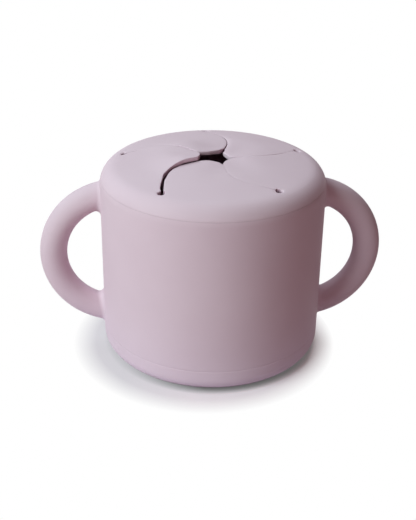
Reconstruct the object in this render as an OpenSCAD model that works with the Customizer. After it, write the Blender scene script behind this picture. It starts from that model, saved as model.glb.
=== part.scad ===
// Two-handled toddler snack cup in soft silicone. A lid plugs into its mouth,
// and five curved flaps in the lid bend open for a small hand and close again.
// Millimetres, +Z up. The origin is the middle of the base, and the handles lie
// along X. The flaps are named as seen from -Y, the front.

/* [Cup] */
// Outer diameter of the cup
cup_d = 90; // [76:1:110]
// Height of the seam between the cup and the lid
seam_z = 73.2; // [66:0.2:90]
// Radius of the fine groove that runs round at the seam
seam_line_r = 0.2; // [0.1:0.05:0.3]
// Thickness of the cup's wall
wall = 3.6; // [3:0.1:4.5]
// Thickness of the cup's floor
floor_t = 3.5; // [2.5:0.1:5]
// Rounding of the outer edge under the cup
base_round = 6.3; // [4:0.1:8]
// Rounding between the floor and the wall, inside
inner_round = 6; // [3:0.5:10]
// Height of the fine moulding line above the foot
foot_line_z = 9.9; // [9:0.1:14]
// Radius of the moulding line's half-round groove
foot_line_r = 0.25; // [0.15:0.05:0.4]

/* [Handles] */
// Radius of the ring that a handle's centre line follows
ring_r = 26.1; // [21:0.1:28]
// Thickness of a handle
handle_d = 10.9; // [8:0.1:12]
// How far the ring's centre lies inside the cup's outer wall
ring_inset = 6.4; // [3:0.1:9]
// Height of the ring's centre
ring_z = 40.6; // [37:0.1:44]
// Fillet where a handle grows out of the wall
handle_fillet = 2; // [1:0.1:3]

/* [Lid] */
// Rounding of the lid's outer edge
lid_round = 7.8; // [5:0.1:9]
// Height of the seam above the start of that rounding
seam_rise = 2.1; // [1:0.1:3]
// Radius of the shallow dome that the lid's top follows
dome_r = 247; // [180:1:400]
// Thickness of the lid's top and of its flaps
flap_t = 1.7; // [1.2:0.1:2.2]
// Depth that the lid's plug reaches into the cup
plug_depth = 6; // [4:0.5:9]
// Thickness of the plug's ring
plug_t = 2; // [1.5:0.1:2.5]
// Gap between the plug and the cup's wall
plug_clearance = 0.3; // [0.2:0.05:0.5]
// How far the sealing bead stands out of the plug
bead_out = 0.2; // [0.1:0.05:0.2]

/* [Flaps] */
// Distance from the cup's outside to the centres of the relief holes
hole_inset = 8.15; // [7.5:0.05:10]
// Diameter of the relief holes at the slits' outer ends
hole_d = 2.5; // [2:0.1:3.5]
// Width of a slit
slit_w = 0.4; // [0.4:0.05:0.8]
// Angle of a slit at its hole, off the line to the centre
slit_lean = 32; // [26:1:36]
// Angle through which a slit bends on its way to the middle
slit_turn = 62; // [55:1:66]
// Straight run of a slit next to the middle opening
slit_lead = 6; // [4:0.5:8]
// Distance from the middle to the points of the star opening
star_r = 8.3; // [7:0.1:10]
// Turn of the star's points from their own holes
star_turn = 14; // [10:1:18]
// Radius of a flap's rounded tip
tip_r = 8; // [7:0.5:10]
// How much the rolled edge that a flap bends on goes beyond half the lid's thickness
hinge_extra = 0.35; // [0.25:0.05:0.5]
// Radius of the solid lid round each relief hole
pad_r = 6.5; // [6:0.5:8]

/* [Hidden] */

SILICONE = [0.78, 0.71, 0.76];
FLAP_COUNT = 5;
SECTOR = 360 / FLAP_COUNT;
SMOOTH = 128;  // steps in a full circle
BEND_STEPS = 16;  // steps in a slit's bend and in a flap's tip
BURY = 0.25;  // how far a fillet's thin end lies under the surface it fades into
ROOT_HEIGHT = 0.8;  // the part of a fillet's height where its axis meets the ring's line
OUTER_CORNERS = [1.35, 0.7, 0];  // corners outside the lid, in sectors on from a slit's hole

cup_r = cup_d / 2;
cavity_r = cup_r - wall;
corner = [cup_r - lid_round, seam_z - seam_rise];  // centre of the lid's edge rounding

// The dome is tangent to the edge rounding, and its centre lies on the Z axis.
dome_z0 = corner.y - sqrt(pow(dome_r - lid_round, 2) - pow(corner.x, 2));
dome_edge = dome_r * corner.x / (dome_r - lid_round);
function dome_z(r, depth) = dome_z0 + sqrt(pow(dome_r - depth, 2) - r * r);
lid_top = dome_z(0, 0);
above = lid_top + 1;  // a height over everything
seam_r = corner.x + sqrt(pow(lid_round, 2) - pow(seam_rise, 2));

// The lid's plug
plug_r = cavity_r - plug_clearance;
plug_in = plug_r - plug_t;
plug_z = seam_z - plug_depth;
bead_r = 0.6;  // radius of the sealing bead
bead_z = seam_z - plug_depth / 2;
under_round = 3;  // rounding between the plug and the underside of the lid

// Where a handle's centre line meets the wall, measured on the ring
ring_x = cup_r - ring_inset;
handle_r = handle_d / 2;
root_angle = acos(ring_inset / ring_r);
fillet_sag = cup_r - sqrt(cup_r * cup_r - pow(handle_r + handle_fillet, 2));
fillet_reach = handle_fillet + fillet_sag;
root_rise = ring_r * sin(root_angle) - fillet_reach * ROOT_HEIGHT / tan(root_angle);

// The slits. Each starts at a relief hole, and heads are in degrees from +X.
hole_ring = cup_r - hole_inset;
hole_angle = -90 - SECTOR / 2;
hinge_line = hole_ring * cos(SECTOR / 2);  // distance of a flap's hinge from the axis
hinge_half = hole_ring * sin(SECTOR / 2) - pad_r;  // half the length of a hinge
hinge_end = sqrt(pow(hinge_line, 2) + pow(hinge_half, 2));
hinge_z = (dome_z(hinge_line, flap_t / 2) + dome_z(hinge_end, flap_t / 2)) / 2;
hinge_r = flap_t / 2 + hinge_extra;
rim_bar = hinge_half - slit_w / 2;  // half the length of the rim's groove on a hinge
flap_bar = rim_bar - slit_w;  // half the length of the flap's rolled edge in it

function heading(a) = [cos(a), sin(a)];
function cross_z(a, b) = a.x * b.y - a.y * b.x;

hole_at = hole_ring * heading(hole_angle);
head_out = hole_angle + 180 + slit_lean;  // heading as the slit leaves its hole
head_in = head_out - slit_turn;  // heading as it reaches the star
star_at = star_r * heading(hole_angle - star_turn);

// The first straight run and the bend's radius follow from both ends of the slit.
bend_step = [sin(head_out) - sin(head_in), cos(head_in) - cos(head_out)];
slit_span = star_at - slit_lead * heading(head_in) - hole_at;
slit_run = cross_z(slit_span, bend_step) / cross_z(heading(head_out), bend_step);
bend_r = cross_z(heading(head_out), slit_span) / cross_z(heading(head_out), bend_step);
tip_turn = 96;  // angle through which a flap's tip is followed past its own slit

function bend(from, head, r, turn) = [for (i = [1 : BEND_STEPS])
    let (now = head - turn * i / BEND_STEPS)
        from + r * [sin(head) - sin(now), cos(now) - cos(head)]];
function end(list) = list[len(list) - 1];

// The line of a slit and of the tip beyond it, moved sideways into its own flap
function slit_edge(side) = let (
    start = hole_at + side * heading(head_out - 90),
    turn_in = start + slit_run * heading(head_out),
    curve = bend(turn_in, head_out, bend_r - side, slit_turn),
    lead = end(curve) + slit_lead * heading(head_in),
    tip = bend(lead, head_in, tip_r - side, tip_turn))
    concat([start, turn_in], curve, [lead], tip);

// Everything between a slit with its tip and the outside, on the flap's side
module behind_slit(side) {
    reach = cup_d;
    polygon(concat(slit_edge(side), [for (sectors = OUTER_CORNERS)
        reach * heading(hole_angle + SECTOR * sectors)]));
}

// The five-sided field inside the hinge lines
module flap_field() {
    polygon([for (i = [0 : FLAP_COUNT - 1])
        hole_ring * heading(hole_angle + i * SECTOR)]);
}

module at_holes() {
    for (i = [0 : FLAP_COUNT - 1])
        rotate(i * SECTOR)
            translate(hole_at)
                children();
}

// The plan of the front flap
module flap_plan() {
    difference() {
        intersection() {
            behind_slit(slit_w / 2);
            flap_field();
        }
        rotate(SECTOR) behind_slit(-slit_w / 2);
        at_holes() circle(pad_r + slit_w, $fn = SMOOTH);
    }
}

// The plan of what is open in the lid's rim, with the slits' outer ends
module field_plan() {
    difference() {
        flap_field();
        at_holes() circle(pad_r, $fn = SMOOTH);
    }
}

module slit_ends() {
    run = pad_r + slit_w;
    for (i = [0 : FLAP_COUNT - 1])
        rotate(i * SECTOR)
            translate(hole_at)
                rotate(head_out)
                    translate([0, -slit_w / 2])
                        square([run, slit_w]);
}

// A round bar on the front flap's hinge line
module hinge_bar(r, half) {
    translate([-half, -hinge_line, hinge_z])
        rotate([0, 90, 0])
            cylinder(r = r, h = 2 * half, $fn = SMOOTH);
}

module dome_ball(depth) {
    translate([0, 0, dome_z0])
        sphere(dome_r - depth, $fn = 2 * SMOOTH);
}

// The outline of the closed cup, from the axis outwards
module outside() {
    square([cup_r - base_round, corner.y]);
    translate([0, base_round])
        square([cup_r, corner.y - base_round]);
    translate([cup_r - base_round, base_round])
        circle(base_round, $fn = SMOOTH);
    translate(corner)
        circle(lid_round, $fn = SMOOTH);
    intersection() {
        translate([0, dome_z0])
            circle(dome_r, $fn = 2 * SMOOTH);
        translate([0, corner.y - base_round])
            square([dome_edge, above]);
    }
}

module band(from, to) {
    translate([0, from])
        square([2 * cup_r, to - from]);
}

module seam_line() {
    translate([seam_r, seam_z])
        circle(seam_line_r, $fn = SMOOTH);
}

module cup_profile() {
    difference() {
        intersection() {
            outside();
            band(0, seam_z);
        }
        translate([0, floor_t])
            square([cavity_r - inner_round, above]);
        translate([0, floor_t + inner_round])
            square([cavity_r, above]);
        translate([cavity_r - inner_round, floor_t + inner_round])
            circle(inner_round, $fn = SMOOTH);
        translate([cup_r, foot_line_z])
            circle(foot_line_r, $fn = SMOOTH);
        seam_line();
    }
}

// The hollow under the lid's top
module lid_hollow() {
    round_at = [plug_in - under_round,
        dome_z(plug_in - under_round, flap_t) - under_round];
    intersection() {
        translate([0, dome_z0])
            circle(dome_r - flap_t, $fn = 2 * SMOOTH);
        union() {
            translate([0, plug_z - 1])
                square([round_at.x, above]);
            translate([0, plug_z - 1])
                square([plug_in, round_at.y - plug_z + 1]);
            translate(round_at)
                circle(under_round, $fn = SMOOTH);
        }
    }
}

module lid_profile() {
    difference() {
        union() {
            intersection() {
                outside();
                band(seam_z, above);
            }
            translate([plug_in, plug_z + plug_t / 2])
                square([plug_t, plug_depth]);
            translate([plug_in + plug_t / 2, plug_z + plug_t / 2])
                circle(plug_t / 2, $fn = SMOOTH);
            translate([plug_r + bead_out - bead_r, bead_z])
                circle(bead_r, $fn = SMOOTH);
        }
        lid_hollow();
        seam_line();
    }
}

module cup_body() {
    color(SILICONE)
        rotate_extrude($fn = SMOOTH)
            cup_profile();
}

// The fillet is a small trumpet, square to the wall and sunk to the wall's curve.
module root_fillet() {
    mouth = handle_r - BURY + fillet_reach;
    rotate_extrude($fn = SMOOTH)
        difference() {
            square([mouth, fillet_reach]);
            translate([mouth, fillet_reach])
                circle(fillet_reach, $fn = SMOOTH);
        }
}

module handle() {
    difference() {
        translate([ring_x, 0, ring_z]) {
            rotate([90, 0, 0])
                rotate_extrude($fn = SMOOTH)
                    translate([ring_r, 0])
                        circle(handle_r, $fn = SMOOTH / 2);
            for (side = [-1, 1])
                translate([ring_inset - fillet_sag, 0, side * root_rise])
                    rotate([0, 90, 0])
                        root_fillet();
        }
        cylinder(r = cup_r, h = above, $fn = 2 * SMOOTH);
    }
}

module handle_right() {
    color(SILICONE)
        handle();
}

module handle_left() {
    color(SILICONE)
        rotate([0, 0, 180])
            handle();
}

module lid_rim() {
    color(SILICONE)
        difference() {
            rotate_extrude($fn = SMOOTH)
                lid_profile();
            translate([0, 0, plug_z]) {
                linear_extrude(above)
                    field_plan();
                linear_extrude(above)
                    slit_ends();
                at_holes()
                    cylinder(d = hole_d, h = above, $fn = SMOOTH / 2);
            }
            for (i = [0 : FLAP_COUNT - 1])
                rotate([0, 0, i * SECTOR])
                    hinge_bar(hinge_r + slit_w, rim_bar);
        }
}

// One flap, turned from the front by whole sectors
module flap(turns) {
    color(SILICONE)
        rotate([0, 0, turns * SECTOR])
            difference() {
                intersection() {
                    union() {
                        translate([0, 0, plug_z])
                            linear_extrude(above)
                                flap_plan();
                        hinge_bar(hinge_r, flap_bar);
                    }
                    dome_ball(0);
                }
                dome_ball(flap_t);
            }
}

module flap_front() { flap(0); }
module flap_right() { flap(1); }
module flap_back_right() { flap(2); }
module flap_back_left() { flap(3); }
module flap_left() { flap(4); }

cup_body();
handle_left();
handle_right();
lid_rim();
flap_front();
flap_right();
flap_back_right();
flap_back_left();
flap_left();
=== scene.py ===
import math

import bmesh
import bpy
import numpy as np
from mathutils import Matrix, Vector
from mathutils.geometry import delaunay_2d_cdt


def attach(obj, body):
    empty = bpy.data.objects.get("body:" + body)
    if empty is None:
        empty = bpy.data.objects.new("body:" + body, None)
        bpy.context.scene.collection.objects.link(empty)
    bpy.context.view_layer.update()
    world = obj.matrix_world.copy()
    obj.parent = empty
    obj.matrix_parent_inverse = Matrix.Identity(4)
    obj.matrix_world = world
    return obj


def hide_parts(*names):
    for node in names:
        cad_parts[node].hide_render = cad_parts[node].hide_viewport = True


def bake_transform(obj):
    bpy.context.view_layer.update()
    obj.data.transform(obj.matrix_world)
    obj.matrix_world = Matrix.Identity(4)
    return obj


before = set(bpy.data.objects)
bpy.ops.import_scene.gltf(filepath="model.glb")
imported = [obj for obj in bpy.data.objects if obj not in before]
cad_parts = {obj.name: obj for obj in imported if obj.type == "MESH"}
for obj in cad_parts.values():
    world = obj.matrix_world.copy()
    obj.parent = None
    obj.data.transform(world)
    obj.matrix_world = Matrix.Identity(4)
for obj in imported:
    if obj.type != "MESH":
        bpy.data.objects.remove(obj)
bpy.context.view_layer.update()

# A two-handled silicone snack cup whose lid has five soft flaps, seen as in its photograph.

# The part's sizes are in millimetres, as in its source, and become metres in make_piece().
# The materials, the floor, the camera and the lamps are in metres from the start.
MM = 0.001
SEGMENTS = 320  # steps round the cup and the lid
SHARP_ANGLE = 50.0  # an edge that turns by more than this isn't shaded smooth

# The cup
CUP_R = 45.0
SEAM_Z = 73.2  # where the lid's edge meets the cup
CUP_EDGE = 0.06  # rounding of the cup's upper edge at the seam
MOUTH_LIP = 0.6  # rounding of the mouth's inner edge
CAVITY_R = 41.4
FLOOR_T = 3.5
INNER_ROUND = 6.0
BASE_ROUND = 6.3
FOOT_LINE_Z = 9.9
FOOT_LINE_R = 0.45  # half the width of the fine moulding line
FOOT_LINE_DEPTH = 0.09
FOOT_LINE_START = 11.5  # degrees from a handle's middle to where the line starts
FOOT_LINE_FADE = 5.0  # degrees over which it grows to its depth

# The handles
RING_X = 38.6  # centre of the ring that a handle's centre line follows
RING_Z = 40.6
RING_R = 26.1
HANDLE_R = 5.45
ROOT_FILLET = 2.0
HIGH_FILLET_LESS = 0.6  # how much smaller the fillet is on top of the upper root

# The lid
LID_ROUND = 7.8
CORNER_R = 37.2
CORNER_Z = 71.1
DOME_R = 247.0
DOME_Z0 = CORNER_Z - math.sqrt((DOME_R - LID_ROUND) ** 2 - CORNER_R ** 2)
DOME_EDGE = DOME_R * CORNER_R / (DOME_R - LID_ROUND)
FLAP_T = 1.7
LID_EDGE = 0.07  # rounding of the lid's lower edge at the seam
LID_GAP = 0.01  # how far the lid's edge stays above the cup's
PLUG_R = 41.1
PLUG_IN = 39.1
PLUG_Z = 67.2
PLUG_ROUND = 1.0
PLUG_NECK = (0.5, 0.6)  # width and height of the slope from the lid's flat edge down to the plug
BEAD_Z = SEAM_Z - 3.0
BEAD_R = 0.6  # half the height of the plug's sealing bead
BEAD_OUT = 0.2
BEAD_SPAN = 0.7  # how far from the bead's middle its rows of points reach
UNDER_ROUND = 3.0
LID_PLAN_R = 40.2  # where the lid's top goes over from the plan mesh to the turned mesh
LID_UNDER_R = 38.7  # the same under the lid

# The slits in plan
SECTOR = 72.0
HOLE_RING = 36.85
HOLE_R = 1.25
HOLE_ANGLE = -126.0
SLIT_LEAN = 32.0  # degrees that a slit leans off the way to the middle where it leaves its hole
SLIT_TURN = 62.0  # degrees that its bend turns
SLIT_LEAD = 6.0  # length of its second straight run
STAR_R = 8.3  # where a slit's second straight run ends, on the star opening's edge
STAR_TURN = 14.0
TIP_R = 8.0  # radius of a flap's rounded tip
TIP_TURN = 96.0
SLIT_GAP = 0.02
CORNER_FILLET = 0.35  # rounding in plan where a slit meets its hole
FUNNEL_FILLET = 0.64  # the same where it opens out into the next flap's hole
TIP_FILLET = 0.4  # rounding in plan of a flap's tip corner
EDGE_ROUND = 0.08  # rounding of the cut edges where they are crisp
HOLE_LIP = 0.8  # rounding of the relief holes' upper edge, on the rim's side
HOLE_LIP_UNDER = 0.3
LIP_RISE = 2.5  # how soon the lip grows to that from the hinge line on
HOLE_ARC = (0, 86)  # the flap's part of its own hole's edge, in degrees
NEXT_HOLE_ARC = (158, 180)  # its part of the next flap's hole's edge
HINGE_LINE = HOLE_RING * math.cos(math.radians(SECTOR / 2))
PLAN_SPACING = 1.25  # size of the triangles in the lid's top and under side
PLAN_MARGIN = 0.7  # how far the free points among them stay from a border
HINGE_SPACING = 1.2
RIM_SPACING = 0.9
CORNER_GAP = 0.15  # points nearer than this to a rounded corner are left out

FLAPS = ["flap_front", "flap_right", "flap_back_right", "flap_back_left", "flap_left"]


def heading(degrees):
    """The unit vector in plan that points that way, counted from +X towards +Y."""
    a = math.radians(degrees)
    return np.array([math.cos(a), math.sin(a)])


def turned(points, degrees):
    """Points in plan turned about the middle."""
    a = math.radians(degrees)
    c, s = math.cos(a), math.sin(a)
    return np.asarray(points, float) @ np.array([[c, s], [-s, c]])


def smooth(t):
    """Goes softly from 0 to 1 while t goes from 0 to 1."""
    t = np.clip(t, 0.0, 1.0)
    return t * t * (3 - 2 * t)


# ---------------------------------------------------------------- mesh building


class Builder:
    """Collects points and faces, and joins points that lie at the same place."""

    def __init__(self):
        self.points = []
        self.index = {}
        self.faces = []

    def point(self, p):
        key = (round(p[0], 4) + 0.0, round(p[1], 4) + 0.0, round(p[2], 4) + 0.0)
        if key not in self.index:
            self.index[key] = len(self.points)
            self.points.append((float(p[0]), float(p[1]), float(p[2])))
        return self.index[key]

    def face(self, corners):
        ids = []
        for p in corners:
            i = self.point(p)
            if i not in ids:
                ids.append(i)
        if len(ids) > 2:
            self.faces.append(ids)

    def strip(self, a, b, closed=False):
        n = len(a)
        for i in range(n if closed else n - 1):
            j = (i + 1) % n
            self.face([a[i], a[j], b[j], b[i]])

    def rows(self, rows, closed=False):
        for a, b in zip(rows, rows[1:]):
            self.strip(a, b, closed)


def make_piece(name, builder, material, body):
    """Makes the visible object."""
    mesh = bpy.data.meshes.new(name)
    mesh.from_pydata([(x * MM, y * MM, z * MM) for x, y, z in builder.points], [], builder.faces)
    bm = bmesh.new()
    bm.from_mesh(mesh)
    bmesh.ops.recalc_face_normals(bm, faces=bm.faces)
    bm.to_mesh(mesh)
    bm.free()
    mesh.polygons.foreach_set("use_smooth", [True] * len(mesh.polygons))
    mesh.set_sharp_from_angle(angle=math.radians(SHARP_ANGLE))
    mesh.materials.append(material)
    obj = bpy.data.objects.new(name, mesh)
    bpy.context.scene.collection.objects.link(obj)
    if body:
        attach(obj, body)
    return obj


def ring(r, z):
    step = 2 * math.pi / SEGMENTS
    return [(r * math.cos(i * step), r * math.sin(i * step), z) for i in range(SEGMENTS)]


def arc(cx, cz, r, start, stop, steps):
    """Points (r, z) on a circle in a turned profile, angles in degrees from straight out."""
    out = []
    for i in range(steps + 1):
        a = math.radians(start + (stop - start) * i / steps)
        out.append((cx + r * math.cos(a), cz + r * math.sin(a)))
    return out


# ---------------------------------------------------------------- the cup

ROOT_COLUMNS = 10  # half the width of the patch of wall round a handle's root
ROOT_ROWS = 20
ROOT_RINGS = 6
FILLET_STEPS = 7
TUBE_STEPS = 84
LOW_ROWS = [7.0, 8.1, 8.9, 9.4, 9.6, 9.7, 9.8, 9.9, 10.0, 10.1, 10.2, 10.4, 10.9,
            11.9, 13.5, 15.4, 17.4, 19.5, 21.7, 24.0, 26.4]
HIGH_START = 54.4
HIGH_STOP = 72.85
HIGH_ROWS = [HIGH_START + (HIGH_STOP - HIGH_START) * i / ROOT_ROWS for i in range(ROOT_ROWS + 1)]
MIDDLE_STEPS = 14  # between the two sets of rows
HIGHEST_WALL = 73.0  # the wall's radius is taken from here at most when a root's fillet meets it
CAVITY_STEP = 6.0
CAVITY_STEPS = 10
CAVITY_FLOOR_RINGS = (30, 24, 18, 12, 6)
BASE_RINGS = (34, 28, 21, 14, 7)


def wall_radius(z):
    if z <= CORNER_Z:
        return CUP_R
    return CORNER_R + math.sqrt(LID_ROUND ** 2 - (z - CORNER_Z) ** 2)


def wall_point(theta, z, sink=0.0):
    r = wall_radius(z) - sink
    return (r * math.cos(theta), r * math.sin(theta), z)


def foot_line(theta, z):
    """Depth of the fine moulding line, which fades out beside the handles."""
    off = abs(z - FOOT_LINE_Z)
    if off >= FOOT_LINE_R:
        return 0.0
    from_right = abs(math.remainder(theta, 2 * math.pi))
    from_left = abs(math.remainder(theta - math.pi, 2 * math.pi))
    beside = math.degrees(min(from_right, from_left))
    fade = float(smooth((beside - FOOT_LINE_START) / FOOT_LINE_FADE))
    return fade * FOOT_LINE_DEPTH * float(smooth(1 - off / FOOT_LINE_R))


def wall_rows():
    low, high = LOW_ROWS[-1], HIGH_ROWS[0]
    middle = [low + (high - low) * i / MIDDLE_STEPS for i in range(1, MIDDLE_STEPS)]
    return [BASE_ROUND] + LOW_ROWS + middle + HIGH_ROWS


def in_root(column, z0, z1):
    """Whether this part of the wall is left out, because a handle's root patch takes its place."""
    c = column % (SEGMENTS // 2)
    beside = c < ROOT_COLUMNS or c >= SEGMENTS // 2 - ROOT_COLUMNS
    low = LOW_ROWS[0] - 0.01 < z0 and z1 < LOW_ROWS[-1] + 0.01
    high = HIGH_ROWS[0] - 0.01 < z0 and z1 < HIGH_ROWS[-1] + 0.01
    return beside and (low or high)


def build_wall(b):
    step = 2 * math.pi / SEGMENTS
    rows = wall_rows()
    grid = []
    for z in rows:
        grid.append([wall_point(i * step, z, foot_line(i * step, z)) for i in range(SEGMENTS)])
    for k in range(len(rows) - 1):
        for i in range(SEGMENTS):
            if in_root(i, rows[k], rows[k + 1]):
                continue
            j = (i + 1) % SEGMENTS
            b.face([grid[k][i], grid[k][j], grid[k + 1][j], grid[k + 1][i]])


def cup_top_profile():
    """Points (r, z) from the seam over the mouth and down inside to the middle of the cup's floor."""
    r = wall_radius(SEAM_Z - CUP_EDGE) - CUP_EDGE
    out = arc(r, SEAM_Z - CUP_EDGE, CUP_EDGE, 0, 90, 4)
    out += arc(CAVITY_R + MOUTH_LIP, SEAM_Z - MOUTH_LIP, MOUTH_LIP, 90, 180, 5)
    for i in range(1, CAVITY_STEPS + 1):
        out.append((CAVITY_R, SEAM_Z - MOUTH_LIP - CAVITY_STEP * i))
    out += arc(CAVITY_R - INNER_ROUND, FLOOR_T + INNER_ROUND, INNER_ROUND, 0, -90, 12)
    out += [(r, FLOOR_T) for r in CAVITY_FLOOR_RINGS]
    return out


def cup_base_profile():
    out = arc(CUP_R - BASE_ROUND, BASE_ROUND, BASE_ROUND, 0, -90, 14)
    out += [(r, 0.0) for r in BASE_RINGS]
    return out


def build_turned(b, profile, start=None):
    """Turns a profile into a skin; start is a ring of points that it carries on from."""
    rows = [ring(r, z) for r, z in profile]
    if start:
        rows = [start] + rows
    b.rows(rows, closed=True)
    return rows


def cap(b, row, z):
    n = len(row)
    for i in range(n):
        b.face([row[i], row[(i + 1) % n], (0.0, 0.0, z)])


def root_patch(low):
    """The patch's border as (theta, z), from under or over the root towards +Y and round."""
    step = 2 * math.pi / SEGMENTS
    rows = LOW_ROWS if low else HIGH_ROWS[::-1]
    c = ROOT_COLUMNS
    out = [(i * step, rows[0]) for i in range(c)]
    out += [(c * step, z) for z in rows[:-1]]
    out += [(i * step, rows[-1]) for i in range(c, -c, -1)]
    out += [(-c * step, z) for z in rows[:0:-1]]
    out += [(i * step, rows[0]) for i in range(-c, 0)]
    return out


def root_section(phi, low):
    """A line from the handle's bar over its fillet to the wall, for the angle phi round the bar."""
    c, s = math.cos(phi), math.sin(phi)
    fillet = ROOT_FILLET
    if not low:
        fillet -= HIGH_FILLET_LESS * max(0.0, c) ** 2
    away = HANDLE_R + fillet
    ball_x = math.sqrt((CUP_R + fillet) ** 2 - (away * s) ** 2)
    psi = math.acos((ball_x - RING_X) / (RING_R + away * c))
    sign = -1 if low else 1
    out = np.array([math.cos(psi) * c, s, sign * math.sin(psi) * c])
    ball = np.array([ball_x, away * s, RING_Z + sign * (RING_R + away * c) * math.sin(psi)])
    to_wall = np.array([ball[0], ball[1], 0.0]) / (CUP_R + fillet)
    angle = math.acos(float(np.clip(out @ to_wall, -1, 1)))
    line = []
    for i in range(FILLET_STEPS + 1):
        t = i / FILLET_STEPS
        way = (math.sin((1 - t) * angle) * out + math.sin(t * angle) * to_wall) / math.sin(angle)
        p = ball - fillet * way
        over = CUP_R - wall_radius(min(p[2], HIGHEST_WALL))
        p[0] -= over * t * t
        line.append(tuple(p))
    return psi * sign, line


def handle_bar(psi_a, psi_b, phi):
    """A line along the round bar from its upper root to its lower one."""
    c, s = math.cos(phi), math.sin(phi)
    out = []
    for i in range(1, TUBE_STEPS):
        psi = psi_a + (psi_b - psi_a) * i / TUBE_STEPS
        r = RING_R + HANDLE_R * c
        out.append((RING_X + r * math.cos(psi), HANDLE_R * s, RING_Z + r * math.sin(psi)))
    return out


def patch_line(border, foot):
    """From the patch's border over the wall to the fillet's foot."""
    theta = math.atan2(foot[1], foot[0])
    out = []
    for i in range(ROOT_RINGS):
        t = i / ROOT_RINGS
        out.append(wall_point(border[0] + (theta - border[0]) * t, border[1] + (foot[2] - border[1]) * t))
    return out


def build_handle(b, flip):
    """The right handle with both roots and their patches of wall, or the left one with flip -1."""
    count = 4 * ROOT_ROWS
    low_border = root_patch(True)
    high_border = root_patch(False)
    lines = []
    for i in range(count):
        phi = 2 * math.pi * i / count
        psi_high, high = root_section(phi, False)
        psi_low, low = root_section(phi, True)
        line = patch_line(high_border[i], high[-1]) + high[::-1]
        line += handle_bar(psi_high, psi_low, phi)
        line += low + patch_line(low_border[i], low[-1])[::-1]
        lines.append([(flip * x, flip * y, z) for x, y, z in line])
    lines.append(lines[0])
    b.rows(lines)


def build_cup():
    b = Builder()
    build_wall(b)
    top = build_turned(b, cup_top_profile(), ring(wall_radius(HIGH_ROWS[-1]), HIGH_ROWS[-1]))
    cap(b, top[-1], FLOOR_T)
    base = build_turned(b, cup_base_profile())
    cap(b, base[-1], 0.0)
    build_handle(b, 1)
    build_handle(b, -1)
    return b


# ---------------------------------------------------------------- the lid's surfaces


def top_z(r):
    """The height of the lid's top: a dome that goes over into its rounded edge."""
    if r <= DOME_EDGE:
        return DOME_Z0 + math.sqrt(DOME_R ** 2 - r * r)
    return CORNER_Z + math.sqrt(LID_ROUND ** 2 - (r - CORNER_R) ** 2)


def under_z(r):
    """The height of the lid's under side, up to the plug."""
    inner = PLUG_IN - UNDER_ROUND
    if r <= inner:
        return DOME_Z0 + math.sqrt((DOME_R - FLAP_T) ** 2 - r * r)
    centre = DOME_Z0 + math.sqrt((DOME_R - FLAP_T) ** 2 - inner * inner) - UNDER_ROUND
    return centre + math.sqrt(max(0.0, UNDER_ROUND ** 2 - (r - inner) ** 2))


# ---------------------------------------------------------------- the slits in plan

HOLE_AT = HOLE_RING * heading(HOLE_ANGLE)
HEAD_OUT = HOLE_ANGLE + 180 + SLIT_LEAN
HEAD_IN = HEAD_OUT - SLIT_TURN
STAR_AT = STAR_R * heading(HOLE_ANGLE - STAR_TURN)


def cross(a, b):
    return a[0] * b[1] - a[1] * b[0]


def slit_sizes():
    """The first straight run and the bend's radius follow from both ends of the slit."""
    out, into = heading(HEAD_OUT), heading(HEAD_IN)
    step = np.array([out[1] - into[1], into[0] - out[0]])
    span = STAR_AT - SLIT_LEAD * into - HOLE_AT
    return cross(span, step) / cross(out, step), cross(out, span) / cross(out, step)


def slit_edge(side, spacing=0.45):
    """The line of a slit and of the tip beyond it, side mm into its own flap, with normals."""
    run, bend = slit_sizes()
    at = HOLE_AT + side * heading(HEAD_OUT - 90)
    head = HEAD_OUT
    points, heads = [at], [head]
    stretches = [(run, 0, 0), (0, bend - side, SLIT_TURN), (SLIT_LEAD, 0, 0), (0, TIP_R - side, TIP_TURN)]
    for length, radius, turn in stretches:
        if turn:
            n = max(2, round(radius * math.radians(turn) / spacing))
            centre = at + radius * heading(head - 90)
            for i in range(1, n + 1):
                h = head - turn * i / n
                points.append(centre + radius * heading(h + 90))
                heads.append(h)
            head -= turn
        else:
            n = max(1, round(length / spacing))
            for i in range(1, n + 1):
                points.append(at + length * i / n * heading(head))
                heads.append(head)
        at = points[-1]
    normals = [heading(h - 90) for h in heads]
    return np.array(points), np.array(normals)


def crossing(a, b):
    """Where the open lines a and b first cross: the position along each, and the point."""
    for i in range(len(a) - 1):
        d = a[i + 1] - a[i]
        for j in range(len(b) - 1):
            e = b[j + 1] - b[j]
            det = cross(d, e)
            if abs(det) < 1e-12:
                continue
            w = b[j] - a[i]
            s, t = cross(w, e) / det, cross(w, d) / det
            if 0 <= s < 1 and 0 <= t < 1:
                return i + s, j + t, a[i] + s * d
    raise ValueError("the two lines do not cross")


def join_rounded(a, na, b, nb, radius, steps):
    """Line a, a rounded corner, then line b. The material is on the normals' side."""
    i, j, centre = crossing(a + radius * na, b + radius * nb)
    ia, jb = int(i), int(j) + 1
    wa = na[ia] + (na[min(ia + 1, len(na) - 1)] - na[ia]) * (i - ia)
    wb = nb[jb - 1] + (nb[min(jb, len(nb) - 1)] - nb[jb - 1]) * (j - jb + 1)
    start = math.atan2(-wa[1], -wa[0])
    turn = math.remainder(math.atan2(-wb[1], -wb[0]) - start, 2 * math.pi)
    points, normals = [], []
    for k in range(steps + 1):
        way = heading(math.degrees(start + turn * k / steps))
        points.append(centre + radius * way)
        normals.append(-way)
    keep_a = [k for k in range(ia + 1) if np.hypot(*(a[k] - points[0])) > CORNER_GAP]
    keep_b = [k for k in range(jb, len(b)) if np.hypot(*(b[k] - points[-1])) > CORNER_GAP]
    all_points = np.array([a[k] for k in keep_a] + points + [b[k] for k in keep_b])
    all_normals = np.array([na[k] for k in keep_a] + normals + [nb[k] for k in keep_b])
    return all_points, all_normals


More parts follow.
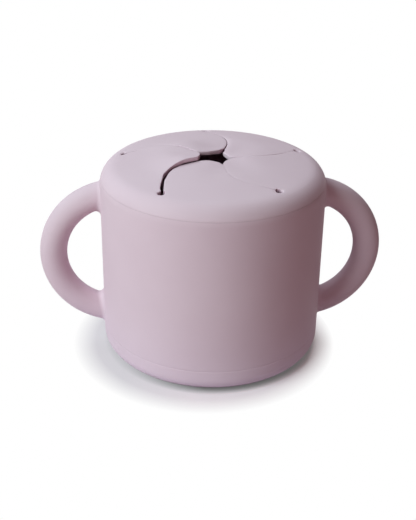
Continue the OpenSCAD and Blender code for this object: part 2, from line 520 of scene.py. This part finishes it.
def hole_arc(centre, start, stop, steps):
    """Part of a relief hole's edge with its normals, angles in degrees."""
    ways = [heading(start + (stop - start) * i / steps) for i in range(steps + 1)]
    return np.array([centre + HOLE_R * w for w in ways]), np.array(ways)


def flap_border():
    """The front flap's cut edge, from its hinge line at one hole round to the other hole."""
    first, n_first = hole_arc(HOLE_AT, *HOLE_ARC, 12)
    own, n_own = slit_edge(SLIT_GAP / 2)
    following, n_following = slit_edge(-SLIT_GAP / 2)
    following = turned(following, SECTOR)[::-1]
    n_following = -turned(n_following, SECTOR)[::-1]
    last_centre = turned([HOLE_AT], SECTOR)[0]
    last, n_last = hole_arc(last_centre, *NEXT_HOLE_ARC, 5)
    p, n = join_rounded(first, n_first, own, n_own, CORNER_FILLET, 5)
    p, n = join_rounded(p, n, following, n_following, TIP_FILLET, 10)
    return join_rounded(p, n, last, n_last, FUNNEL_FILLET, 8)


# ---------------------------------------------------------------- plan meshes

ROUND_ANGLES = [90, 65, 45, 25, 0]  # from the cut wall up on to the top face


def edge_lines(points, normals, rounding):
    """The cut edge's lines from the wall to the flat: each is (points, how far below the surface)."""
    out = []
    for a in ROUND_ANGLES:
        inward = 1 - math.sin(math.radians(a))
        drop = 1 - math.cos(math.radians(a))
        out.append((points + normals * (rounding * inward)[:, None], rounding * drop))
    return out


def inside(polygon, p):
    """For each point of p, whether it lies inside the polygon."""
    x, y = p[:, 0], p[:, 1]
    hit = np.zeros(len(p), bool)
    n = len(polygon)
    for i in range(n):
        (x0, y0), (x1, y1) = polygon[i], polygon[(i + 1) % n]
        if y0 == y1:
            continue
        crosses = (y0 > y) != (y1 > y)
        hit ^= crosses & (x < x0 + (y - y0) * (x1 - x0) / (y1 - y0))
    return hit


def fill_plan(polygon):
    """Even triangles inside a closed line: the points and the triangles."""
    spacing = PLAN_SPACING
    polygon = np.asarray(polygon)
    low, high = polygon.min(axis=0), polygon.max(axis=0)
    rise = spacing * math.sqrt(3) / 2
    rows = []
    for k, y in enumerate(np.arange(low[1], high[1], rise)):
        shift = spacing / 2 if k % 2 else 0.0
        xs = np.arange(low[0] + shift, high[0], spacing)
        rows.append(np.stack([xs, np.full(len(xs), y)], axis=1))
    grid = np.concatenate(rows)
    grid = grid[inside(polygon, grid)]
    gaps = np.hypot(grid[:, None, 0] - polygon[None, :, 0], grid[:, None, 1] - polygon[None, :, 1])
    grid = grid[gaps.min(axis=1) > PLAN_MARGIN]
    n = len(polygon)
    coords = [Vector(p) for p in polygon] + [Vector(p) for p in grid]
    edges = [(i, (i + 1) % n) for i in range(n)]
    got = delaunay_2d_cdt(coords, edges, [], 1, 1e-6)
    points = [np.array(v) for v in got[0]]
    for i, ids in enumerate(got[3]):
        if ids and ids[0] < n:
            points[i] = polygon[ids[0]]
    faces = [tuple(f) for f in got[2]]
    return points, faces


def points_between(a, b, spacing):
    n = max(2, round(float(np.hypot(*(b - a))) / spacing))
    return [a + (b - a) * i / n for i in range(1, n)]


FLAP_EDGE, FLAP_NORMALS = flap_border()
FLAP_ALONG = np.concatenate([[0], np.cumsum(np.hypot(*(FLAP_EDGE[1:] - FLAP_EDGE[:-1]).T))])
HINGE_START = FLAP_EDGE[-1] + FLAP_NORMALS[-1] * EDGE_ROUND
HINGE_STOP = FLAP_EDGE[0] + FLAP_NORMALS[0] * EDGE_ROUND
HINGE_POINTS = points_between(HINGE_START, HINGE_STOP, HINGE_SPACING)


# ---------------------------------------------------------------- the flaps


# How each soft flap lies at rest. Each entry is a place on its cut edge, as the distance in mm from
# its own relief hole along the edge, and the flap's shift there along X, Y and Z in mm.
REST_SHAPE = {
    "flap_front": [
        (2, 0.7, 0, 0), (6, 0.7, 0, 0), (9, 0.8, 0, 0), (13, 1.3, 0, 0), (17, 0.9, 0, 0),
        (21, 0.4, 0, 0), (26, 0, 0, 0), (30, 0, 0, 0), (36, 0, 0, 0), (40, 0, 0, -0.3),
        (43, 0, -0.4, -0.7), (48, 0, -0.4, -0.5), (54, 0, -0.2, -0.2), (60, 0, 0, 0), (67, 0, 0, 0),
        (71, 0, 0, 0), (74, 0, -0.3, 0),
    ],
    "flap_right": [
        (1, 0, 0.3, 0), (3.5, 0, 0, 0), (7, 0, 0, 0), (12, 0, 0, 0), (18, 0, -0.15, -0.05),
        (24, 0, -0.4, -0.35), (29, 0, -0.5, -0.58), (33, 0, -0.6, -0.8), (37, 0.1, -0.7, -0.95),
        (40, 0.4, -0.7, -0.85), (43, 1.2, -0.3, -0.6), (47, 1.2, 0.42, 0), (51, 0.4, 1.1, 0.15),
        (55, 0, 1.9, 0.2), (59, 0, 2.3, 0.2), (63, 0, 2.3, 0.15), (67, 0, 1.8, 0.1), (71, 0, 0.9, 0),
    ],
    "flap_back_right": [
        (1, 0, 0.5, 0), (4, 0, 1.0, 0), (8, 0, 1.8, 0.08), (12, 0, 2.3, 0.13), (16, 0, 2.3, 0.2),
        (20, 0, 1.85, 0.24), (24, 0.4, 1.1, 0.22), (28, 1.2, 0.4, 0.05), (32, 1.3, -0.3, -0.45),
        (36, 1.7, -0.6, -0.8), (40, 2.7, -0.8, -0.7), (44, 2.6, -0.9, -0.8), (48, 0.9, -1.1, -0.8),
        (52, 0.1, -1.4, -0.8), (56, 0.1, -1.4, -0.8), (60, 0.3, -1.0, -0.5), (64, 0, -0.4, -0.1),
        (68, 0, 0, 0),
    ],
    "flap_back_left": [
        (4, 0, 0, 0), (8, 0, -0.1, 0), (12, 0, -0.4, -0.1), (16, 0, -0.9, -0.4), (20, 0.1, -1.2, -0.6),
        (24, 0.2, -1.2, -0.7), (28, 1.1, -1.0, -0.7), (32, 1.5, -0.4, -0.3), (36, 0.2, 0, 0),
        (40, 0, 0.1, 0.3), (44, 0, 0.5, 0.65), (48, 0, 0.7, 0.75), (52, 0, 0.9, 0.78),
        (56, 0, 0.9, 0.7), (60, 0, 0.8, 0.5), (64, 0, 0.4, 0.2), (68, 0, 0.1, 0.1),
    ],
    "flap_left": [
        (4, 0, 0, 0), (8, 0, 0.2, 0.1), (12, 0, 0.5, 0.3), (16, 0, 0.8, 0.5), (20, 0, 0.9, 0.57),
        (24, 0, 0.75, 0.52), (28, 0, 0.5, 0.47), (32, 0, 0.25, 0.5), (36, -0.3, 0, 0.9),
        (38, -0.5, 0, 1.3), (40, -0.6, 0, 1.7), (44, -0.3, 0, 2.0), (48, -0.3, 0, 2.1),
        (52, -0.2, 0, 1.65), (56, -0.3, 0, 1.25), (60, -0.6, 0, 0.5), (64, -0.1, 0, 0.1),
        (68, -0.5, 0, 0), (71, -0.7, 0, 0),
    ],
}
REST_REACH = 2.6  # how softly one place's shift goes over into the next one's
REST_ROOTS = np.array([1.3, 1.3, 15.0])  # how far in from the hinge line a flap is free along X, Y, Z


# How far each flap's cut edge is rounded, as (distance from its own relief hole, rounding) in mm.
EDGE_ROUNDING = {
    "flap_front": [(3, 0.08), (10, 0.16), (38, 0.16), (46, 0.02), (72, 0.02), (74, 0.08)],
    "flap_right": [(1, 0.08), (5, 0.02), (30, 0.02), (36, 0.16), (42, 0.16), (48, 0.08)],
    "flap_back_right": [(4, 0.08), (12, 0.2), (26, 0.34), (56, 0.34), (68, 0.08)],
    "flap_back_left": [(4, 0.08), (14, 0.22), (30, 0.25), (42, 0.34), (52, 0.3), (64, 0.08)],
    "flap_left": [(4, 0.08), (20, 0.14), (60, 0.14), (70, 0.08)],
}


# How far a flap's top rolls down over the last few millimetres before its cut edge, given likewise.
EDGE_DROOP = {"flap_back_right": [(34, 0), (40, 0.35), (58, 0.35), (66, 0)]}
DROOP_WIDTH = 2.2


def flap_lines(k):
    """Flap k's cut edge in plan, with its own rounding."""
    rounding = np.interp(FLAP_ALONG, *np.array(EDGE_ROUNDING[FLAPS[k]]).T)
    return edge_lines(FLAP_EDGE, FLAP_NORMALS, rounding)


def flap_rest(k):
    """Returns the function that shifts a point of the front flap's plan to where flap k lies at rest."""
    shape = np.array(REST_SHAPE[FLAPS[k]], float)
    places = np.stack([np.interp(shape[:, 0], FLAP_ALONG, FLAP_EDGE[:, i]) for i in (0, 1)], axis=1)
    shifts = shape[:, 1:]
    shifts[:, :2] = turned(shifts[:, :2], -k * SECTOR)
    rolls = np.array(EDGE_DROOP.get(FLAPS[k], [(0, 0), (1, 0)]), float)
    droop = np.interp(FLAP_ALONG, *rolls.T)

    def shift(p):
        gap = (places[:, 0] - p[0]) ** 2 + (places[:, 1] - p[1]) ** 2
        weight = 1 / (gap + REST_REACH ** 2) ** 2
        free = smooth((HINGE_LINE + p[1]) / REST_ROOTS)
        moved = free * (weight @ shifts) / weight.sum()
        away = np.hypot(FLAP_EDGE[:, 0] - p[0], FLAP_EDGE[:, 1] - p[1])
        near = int(away.argmin())
        moved[2] -= droop[near] * max(0.0, 1 - away[near] / DROOP_WIDTH) ** 2
        return moved

    return shift


def no_shift(p):
    return (0.0, 0.0, 0.0)


def flap_point(p, depth, under, shift):
    """A point of the plan on the shifted top, or under side, and depth mm into the silicone."""
    dx, dy, dz = shift(p)
    x, y = p[0] + dx, p[1] + dy
    r = math.hypot(x, y)
    z = under_z(r) + depth if under else top_z(r) - depth
    return (x, y, z + dz)


def build_flap(k):
    """Builds flap k in the front flap's place, and then turns it into its own."""
    b = Builder()
    shift = flap_rest(k)
    sides = []
    plan = flap_lines(k)
    fill = fill_plan(list(plan[-1][0]) + HINGE_POINTS)
    for under in (False, True):
        lines = []
        for points, drop in plan:
            lines.append([flap_point(p, d, under, shift) for p, d in zip(points, drop)])
        b.rows(lines)
        points, faces = fill
        flat = [flap_point(p, 0.0, under, shift) for p in points]
        for f in faces:
            b.face([flat[i] for i in f])
        sides.append(lines)
    middle = [tuple((np.array(p) + np.array(q)) / 2) for p, q in zip(sides[0][0], sides[1][0])]
    b.rows([sides[0][0], middle, sides[1][0]])
    hinge_wall(b, sides, middle, shift)
    b.points = [tuple(turned([p[:2]], k * SECTOR)[0]) + (p[2],) for p in b.points]
    return b


def hinge_wall(b, sides, middle, shift):
    """The hidden face on the hinge line, where the flap goes over into the rim."""
    over = [flap_point(p, 0.0, False, shift) for p in HINGE_POINTS]
    below = [flap_point(p, 0.0, True, shift) for p in HINGE_POINTS]
    end = [line[-1] for line in sides[0][::-1]] + [middle[-1]] + [line[-1] for line in sides[1]]
    start = [line[0] for line in sides[1][::-1]] + [middle[0]] + [line[0] for line in sides[0]]
    b.face(end + below + start + over[::-1])


# ---------------------------------------------------------------- the lid's rim


def rim_arc(centre, start, stop, lip):
    """The rim's half of a relief hole, from the hinge line to straight outwards."""
    points, normals = hole_arc(centre, start, stop, 18)
    share = np.linspace(0, 1, len(points))
    rounding = EDGE_ROUND + (lip - EDGE_ROUND) * smooth(share * LIP_RISE)
    return points, normals, rounding


def rim_border(radius, steps, lip):
    """The outline of one sector of the rim between a hinge line and a circle."""
    first = HOLE_AT
    last = turned([HOLE_AT], SECTOR)[0]
    pa, na, ra = rim_arc(first, 0, HOLE_ANGLE, lip)
    pb, nb, rb = rim_arc(last, -180, HOLE_ANGLE + SECTOR, lip)
    lines_a = edge_lines(pa, na, ra)
    lines_b = edge_lines(pb, nb, rb)
    circle = [radius * heading(HOLE_ANGLE + SECTOR * i / steps) for i in range(steps + 1)]
    out_a = points_between(lines_a[-1][0][-1], circle[0], RIM_SPACING)
    out_b = points_between(lines_b[-1][0][-1], circle[-1], RIM_SPACING)
    border = list(lines_a[-1][0]) + out_a + circle + out_b[::-1] + list(lines_b[-1][0][::-1]) + HINGE_POINTS
    return border, lines_a, lines_b


def surface_point(p, depth, under):
    r = math.hypot(p[0], p[1])
    return (p[0], p[1], under_z(r) + depth if under else top_z(r) - depth)


def spin(p, k):
    """A point of the front sector, turned into sector k."""
    q = turned([p[:2]], k * SECTOR)[0]
    return (q[0], q[1], p[2])


def build_rim_plan(b, k, under, fill, lines_ab):
    """One sector of the rim's top or under side, with the rounded edges of its two half holes."""
    points, faces = fill
    flat = [spin(surface_point(p, 0.0, under), k) for p in points]
    for f in faces:
        b.face([flat[i] for i in f])
    walls = []
    for lines in lines_ab:
        placed = [[spin(surface_point(p, d, under), k) for p, d in zip(ps, ds)] for ps, ds in lines]
        b.rows(placed)
        walls.append(placed)
    return walls


def rim_hinge_wall(b, k, over, below):
    """The hidden face on the rim's side of a hinge line."""
    top = [spin(flap_point(p, 0.0, False, no_shift), k) for p in HINGE_POINTS]
    low = [spin(flap_point(p, 0.0, True, no_shift), k) for p in HINGE_POINTS]
    ends = []
    for side in (0, 1):
        down = [line[0] for line in over[side][::-1]]
        up = [line[0] for line in below[side]]
        mid = tuple((np.array(down[-1]) + np.array(up[0])) / 2)
        ends.append(down + [mid] + up)
    b.face(ends[1] + low + ends[0][::-1] + top[::-1])


def lid_turned_profile():
    """Points (r, z) from the lid's top over its edge, along the seam and round the plug."""
    start = math.degrees(math.acos((LID_PLAN_R - CORNER_R) / LID_ROUND))
    stop = math.degrees(math.asin((SEAM_Z + LID_EDGE - CORNER_Z) / LID_ROUND))
    out = arc(CORNER_R, CORNER_Z, LID_ROUND, start, stop, 20)
    r = out[-1][0]
    out += arc(r - LID_EDGE, SEAM_Z + LID_EDGE + LID_GAP, LID_EDGE, 0, -90, 4)[1:]
    out += [(PLUG_R + PLUG_NECK[0], SEAM_Z + LID_GAP), (PLUG_R, SEAM_Z - PLUG_NECK[1])]
    for z in np.linspace(BEAD_Z + BEAD_SPAN, BEAD_Z - BEAD_SPAN, 9):
        out.append((PLUG_R + BEAD_OUT * float(smooth(1 - abs(z - BEAD_Z) / BEAD_R)), z))
    out += arc(PLUG_IN + PLUG_ROUND, PLUG_Z + PLUG_ROUND, PLUG_ROUND, 0, -180, 12)
    inner = PLUG_IN - UNDER_ROUND
    stop = math.degrees(math.acos((LID_UNDER_R - inner) / UNDER_ROUND))
    out += arc(inner, under_z(inner) - UNDER_ROUND, UNDER_ROUND, 0, stop, 8)
    return out


def build_rim():
    b = Builder()
    count = SEGMENTS // len(FLAPS)
    top_border, *top_lines = rim_border(LID_PLAN_R, count, HOLE_LIP)
    low_border, *low_lines = rim_border(LID_UNDER_R, count, HOLE_LIP_UNDER)
    top_fill = fill_plan(top_border)
    low_fill = fill_plan(low_border)
    for k in range(len(FLAPS)):
        over = build_rim_plan(b, k, False, top_fill, top_lines)
        below = build_rim_plan(b, k, True, low_fill, low_lines)
        for side in (0, 1):
            a, c = over[side][0], below[side][0]
            middle = [tuple((np.array(p) + np.array(q)) / 2) for p, q in zip(a, c)]
            b.rows([a, middle, c])
        rim_hinge_wall(b, k, over, below)
    ways = [heading(HOLE_ANGLE + 360 * i / SEGMENTS) for i in range(SEGMENTS)]
    rows = [[(r * w[0], r * w[1], z) for w in ways] for r, z in lid_turned_profile()]
    b.rows(rows, closed=True)
    return b


# ---------------------------------------------------------------- materials


class Nodes:
    """Short names for building a node tree."""

    def __init__(self, tree):
        self.tree = tree
        self.tree.nodes.clear()

    def add(self, kind, inputs=None, **settings):
        """Adds a node. inputs holds the values that are set on its own sockets."""
        node = self.tree.nodes.new(kind)
        for key, value in settings.items():
            setattr(node, key, value)
        for key, value in (inputs or {}).items():
            node.inputs[key].default_value = value
        return node

    def link(self, a, b):
        self.tree.links.new(a, b)

    def noise(self, place, scale, detail):
        node = self.add("ShaderNodeTexNoise", {"Scale": scale, "Detail": detail})
        self.link(place, node.inputs["Vector"])
        return node.outputs["Fac"]

    def ramp(self, value, first, last, between=(), interpolation="LINEAR"):
        """A colour ramp over value, whose stops are (position, colour)."""
        node = self.add("ShaderNodeValToRGB")
        node.color_ramp.interpolation = interpolation
        stops = node.color_ramp.elements
        for stop, (position, colour) in zip(stops, (first, last)):
            stop.position = position
            stop.color = (*colour, 1.0)
        for position, colour in between:
            stops.new(position).color = (*colour, 1.0)
        self.link(value, node.inputs["Fac"])
        return node.outputs["Color"]

    def fade(self, value, start, stop, low=0.0, high=1.0):
        """Goes from low to high while value goes from start to stop."""
        ends = {"From Min": start, "From Max": stop, "To Min": low, "To Max": high}
        node = self.add("ShaderNodeMapRange", ends)
        self.link(value, node.inputs["Value"])
        return node.outputs["Result"]

    def higher(self, a, b):
        node = self.add("ShaderNodeMath", operation="MAXIMUM")
        self.link(a, node.inputs[0])
        self.link(b, node.inputs[1])
        return node.outputs[0]

    def mixed(self, share, a, b):
        """Shader a where share is 0, and shader b where it is 1."""
        node = self.add("ShaderNodeMixShader")
        self.link(share, node.inputs["Fac"])
        self.link(a, node.inputs[1])
        self.link(b, node.inputs[2])
        return node.outputs[0]


PALE_MAUVE = (0.69, 0.51, 0.585)
DEEP_MAUVE = (0.665, 0.485, 0.56)
CLOUD_SCALE = 38.0
GRAIN_SCALE = 3200.0
GRAIN_DEPTH = 0.00006
# Painted shade: where ambient occlusion finds silicone close all round, in slits, holes and creases, the
# colour is darkened to plum and near black.
PAINTED_NOOK_SHADE_REACH = 0.004  # reach of the painted shade: a place with silicone this near all round it gets darkened
PAINTED_NOOK_SHADE_DARK = (0.18, (0.02, 0.008, 0.016))  # painted shade: how open a place is, and what its colour is multiplied by
PAINTED_NOOK_SHADE_PLUM = (0.38, (0.42, 0.25, 0.35))
PAINTED_NOOK_SHADE_NONE = (0.62, (1.0, 1.0, 1.0))
CUP_GLOSS = 0.06
LID_GLOSS = 0.17


def silicone_colour(n, place):
    """Mauve with a faint clouding, darkened by painted shade that goes over into plum and then dark in
    narrow places.
    """
    tint = n.ramp(n.noise(place, CLOUD_SCALE, 4.0), (0.3, DEEP_MAUVE), (0.7, PALE_MAUVE))
    # Painted shade: ambient occlusion multiplied into the silicone's colour.
    painted_shade_ao = n.add("ShaderNodeAmbientOcclusion", {"Distance": PAINTED_NOOK_SHADE_REACH}, samples=8)
    painted_nook_shade = n.ramp(painted_shade_ao.outputs["AO"], PAINTED_NOOK_SHADE_DARK, PAINTED_NOOK_SHADE_NONE, [PAINTED_NOOK_SHADE_PLUM], "EASE")
    colour = n.add("ShaderNodeMix", {"Factor": 1.0}, data_type="RGBA", blend_type="MULTIPLY")
    n.link(tint, colour.inputs["A"])
    n.link(painted_nook_shade, colour.inputs["B"])
    return colour.outputs["Result"]


def silicone(name, seed, gloss):
    """Matte moulded silicone with a fine satin grain in its roughness and its bump."""
    material = bpy.data.materials.new(name)
    material.use_nodes = True
    n = Nodes(material.node_tree)
    out = n.add("ShaderNodeOutputMaterial")
    shader = n.add("ShaderNodeBsdfPrincipled", {"IOR": 1.43, "Specular IOR Level": gloss})
    n.link(shader.outputs["BSDF"], out.inputs["Surface"])
    coords = n.add("ShaderNodeTexCoord")
    mapping = n.add("ShaderNodeMapping", {"Location": (seed, seed * 0.7, seed * 1.3)})
    n.link(coords.outputs["Object"], mapping.inputs["Vector"])
    place = mapping.outputs["Vector"]
    # The base colour carries painted shade in narrow places.
    n.link(silicone_colour(n, place), shader.inputs["Base Color"])
    grain = n.noise(place, GRAIN_SCALE, 3.0)
    n.link(n.fade(grain, 0.0, 1.0, 0.5, 0.66), shader.inputs["Roughness"])
    bump = n.add("ShaderNodeBump", {"Strength": 0.12, "Distance": GRAIN_DEPTH})
    n.link(grain, bump.inputs["Height"])
    n.link(bump.outputs["Normal"], shader.inputs["Normal"])
    return material


def seen(n):
    """Is 1 for what the camera, mirrors and glass see, and 0 for the light that falls on the object."""
    path = n.add("ShaderNodeLightPath")
    first = n.higher(path.outputs["Is Camera Ray"], path.outputs["Is Glossy Ray"])
    return n.higher(first, path.outputs["Is Transmission Ray"])


# The floor close to the cup, in metres from FLOOR_MIDDLE, which is the middle of its soft shadow.
FLOOR_MIDDLE = (-0.003, -0.0022, 0.0)
WHITE_FROM = 0.046  # here the seen floor starts to fade to white
WHITE_ALL = 0.0555
BOUNCE_NEAR = (0.055, (0.76, 0.72, 0.84, 1.0))  # the floor's colour for the light it throws back
BOUNCE_FAR = (0.085, (0.5, 0.36, 0.36, 1.0))
# Painted shade: the seen floor's colour close to the foot is multiplied by ambient occlusion.
PAINTED_CONTACT_SHADE_COLOUR = (0.94, 0.79, 0.84, 1.0)
PAINTED_CONTACT_SHADE_REACH = 0.003  # how far the painted contact shade at the foot reaches
SHADE_GLOW = 0.12
# Painted light: a flat pale grey glow laid over the seen floor on the lit side, in place of its own
# shading.
PAINTED_LIT_COLOUR = (0.6, 0.6, 0.635, 1.0)
PAINTED_LIT_SHARE = 0.8
PAINTED_LIT_LEFT = -0.038  # the X where the painted pale glow of the lit side is strongest, and where it ends
PAINTED_LIT_END = -0.006


def floor_bounce(n, away):
    """The floor as the object gets its light from it."""
    tone = n.add("ShaderNodeMix", data_type="RGBA")
    tone.inputs["A"].default_value = BOUNCE_NEAR[1]
    tone.inputs["B"].default_value = BOUNCE_FAR[1]
    n.link(n.fade(away, BOUNCE_NEAR[0], BOUNCE_FAR[0]), tone.inputs["Factor"])
    pale = n.add("ShaderNodeBsdfDiffuse")
    n.link(tone.outputs["Result"], pale.inputs["Color"])
    return pale.outputs[0]


def floor_near(n, coords):
    """The seen floor close to the foot: shaded by the cup, with painted contact shade, and with a painted
    pale glow on the lit side.
    """
    # Painted contact shade: ambient occlusion multiplied into the matte floor's colour.
    painted_shade_ao = n.add("ShaderNodeAmbientOcclusion", {"Color": PAINTED_CONTACT_SHADE_COLOUR, "Distance": PAINTED_CONTACT_SHADE_REACH}, samples=8)
    matte = n.add("ShaderNodeBsdfDiffuse")
    n.link(painted_shade_ao.outputs["Color"], matte.inputs["Color"])
    glow = n.add("ShaderNodeEmission", {"Strength": SHADE_GLOW})
    shade = n.add("ShaderNodeAddShader")
    n.link(matte.outputs[0], shade.inputs[0])
    n.link(glow.outputs[0], shade.inputs[1])
    side = n.add("ShaderNodeSeparateXYZ")
    n.link(coords, side.inputs[0])
    # Painted light: the flat pale glow's share, strongest on the left.
    lit = n.fade(side.outputs["X"], PAINTED_LIT_LEFT, PAINTED_LIT_END, PAINTED_LIT_SHARE, 0.0)
    soft = n.add("ShaderNodeEmission", {"Color": PAINTED_LIT_COLOUR})
    return n.mixed(lit, shade.outputs[0], soft.outputs[0])


def floor_material():
    """White all round the cup, with the floor close to its foot: really lit and shaded, with painted
    contact shade, and a painted pale glow on the lit side.
    """
    material = bpy.data.materials.new("floor_white")
    material.use_nodes = True
    n = Nodes(material.node_tree)
    out = n.add("ShaderNodeOutputMaterial")
    coords = n.add("ShaderNodeTexCoord").outputs["Object"]
    place = n.add("ShaderNodeVectorMath", operation="SUBTRACT")
    place.inputs[1].default_value = FLOOR_MIDDLE
    n.link(coords, place.inputs[0])
    length = n.add("ShaderNodeVectorMath", operation="LENGTH")
    n.link(place.outputs["Vector"], length.inputs[0])
    away = length.outputs["Value"]
    white = n.add("ShaderNodeEmission")
    seen_floor = n.mixed(n.fade(away, WHITE_FROM, WHITE_ALL), floor_near(n, coords), white.outputs[0])
    n.link(n.mixed(seen(n), floor_bounce(n, away), seen_floor), out.inputs["Surface"])
    return material


AIR_COLOUR = (1.0, 0.58, 0.54, 1.0)
AIR_STRENGTH = 0.1


def make_world():
    world = bpy.data.worlds.new("studio")
    world.use_nodes = True
    bpy.context.scene.world = world
    n = Nodes(world.node_tree)
    out = n.add("ShaderNodeOutputWorld")
    soft = n.add("ShaderNodeBackground", {"Color": AIR_COLOUR, "Strength": AIR_STRENGTH})
    white = n.add("ShaderNodeBackground", {"Color": (1.0, 1.0, 1.0, 1.0), "Strength": 1.0})
    n.link(n.mixed(seen(n), soft.outputs[0], white.outputs[0]), out.inputs["Surface"])


# ---------------------------------------------------------------- camera, lamps and floor

# The camera comes from the fit to the photograph: degrees, metres, and shifts in pixels of its height.
CAMERA_DISTANCE = 0.38724
CAMERA_ELEVATION = 26.429
CAMERA_AZIMUTH = -5.354
CAMERA_ROLL = 1.023
CAMERA_LENS = 64.83
CAMERA_SENSOR = 36.0
CAMERA_SHIFT = (-3.895, -11.931)
PHOTO_HEIGHT = 520
LOOK_AT = Vector((0.0, 0.0, 0.041087))

# Each lamp is a soft disk: azimuth and elevation in degrees, distance and size in metres, watts, colour.
LAMPS = {
    "key": (-58, 32, 1.1, 0.8, 11.9, (0.81, 1.04, 1.02)),
    "back": (-172, 55, 1.1, 0.8, 5.3, (0.83, 1.03, 1.06)),
    "front": (8, 12, 1.2, 0.9, 1.0, (1.04, 0.68, 0.69)),
}
LAMPS_AIM = Vector((0, 0, 0.04))

FLOOR_RINGS = (0.0005, 0.1, 0.3, 0.8, 2.0, 6.0)
FLOOR_STEPS = 96
FLOOR_DROP = 0.0001  # how far the floor lies under the cup's foot


def way_back(azimuth, elevation):
    """The unit vector from the object towards a camera or a lamp, azimuth 0 being the front."""
    a, e = math.radians(azimuth), math.radians(elevation)
    return Vector((math.sin(a) * math.cos(e), -math.cos(a) * math.cos(e), math.sin(e)))


def facing(back):
    return back.to_track_quat("Z", "Y").to_matrix().to_4x4()


def make_camera():
    data = bpy.data.cameras.new("camera")
    data.lens = CAMERA_LENS
    data.sensor_width = CAMERA_SENSOR
    data.shift_x = CAMERA_SHIFT[0] / PHOTO_HEIGHT
    data.shift_y = CAMERA_SHIFT[1] / PHOTO_HEIGHT
    data.clip_start = 0.01
    camera = bpy.data.objects.new("camera", data)
    bpy.context.scene.collection.objects.link(camera)
    back = way_back(CAMERA_AZIMUTH, CAMERA_ELEVATION)
    roll = Matrix.Rotation(math.radians(CAMERA_ROLL), 4, "Z")
    camera.matrix_world = Matrix.Translation(LOOK_AT + back * CAMERA_DISTANCE) @ facing(back) @ roll
    bpy.context.scene.camera = camera


def make_lamp(name, azimuth, elevation, distance, size, power, colour):
    data = bpy.data.lights.new(name, "AREA")
    data.shape = "DISK"
    data.size = size
    data.energy = power
    data.color = colour
    lamp = bpy.data.objects.new(name, data)
    bpy.context.scene.collection.objects.link(lamp)
    back = way_back(azimuth, elevation)
    lamp.matrix_world = Matrix.Translation(LAMPS_AIM + back * distance) @ facing(back)


def make_floor():
    n = FLOOR_STEPS
    ways = [heading(360 * i / n) for i in range(n)]
    points = [(r * w[0], r * w[1], -FLOOR_DROP) for r in FLOOR_RINGS for w in ways]
    faces = [tuple(range(n - 1, -1, -1))]
    for k in range(0, n * (len(FLOOR_RINGS) - 1), n):
        for i in range(n):
            j = (i + 1) % n
            faces.append((k + i, k + j, k + n + j, k + n + i))
    mesh = bpy.data.meshes.new("floor")
    mesh.from_pydata(points, [], faces)
    mesh.materials.append(floor_material())
    floor = bpy.data.objects.new("floor", mesh)
    bpy.context.scene.collection.objects.link(floor)


# ---------------------------------------------------------------- the part


def make_cup():
    stuff = silicone("cup_silicone", 0.0, CUP_GLOSS)
    cup = make_piece("cup_with_handles", build_cup(), stuff, "cup")
    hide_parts("cup_body", "handle_left", "handle_right")


def make_lid():
    stuff = silicone("lid_silicone", 3.0, LID_GLOSS)
    rim = make_piece("lid_edge", build_rim(), stuff, "lid")
    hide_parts("lid_rim")
    for k, name in enumerate(FLAPS):
        flap = make_piece(name + "_skin", build_flap(k), stuff, None)
        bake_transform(flap)
        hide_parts(name)


make_camera()
make_world()
for lamp_name, settings in LAMPS.items():
    make_lamp(lamp_name, *settings)
make_floor()
make_cup()
make_lid()
bpy.context.scene.view_settings.view_transform = "Standard"
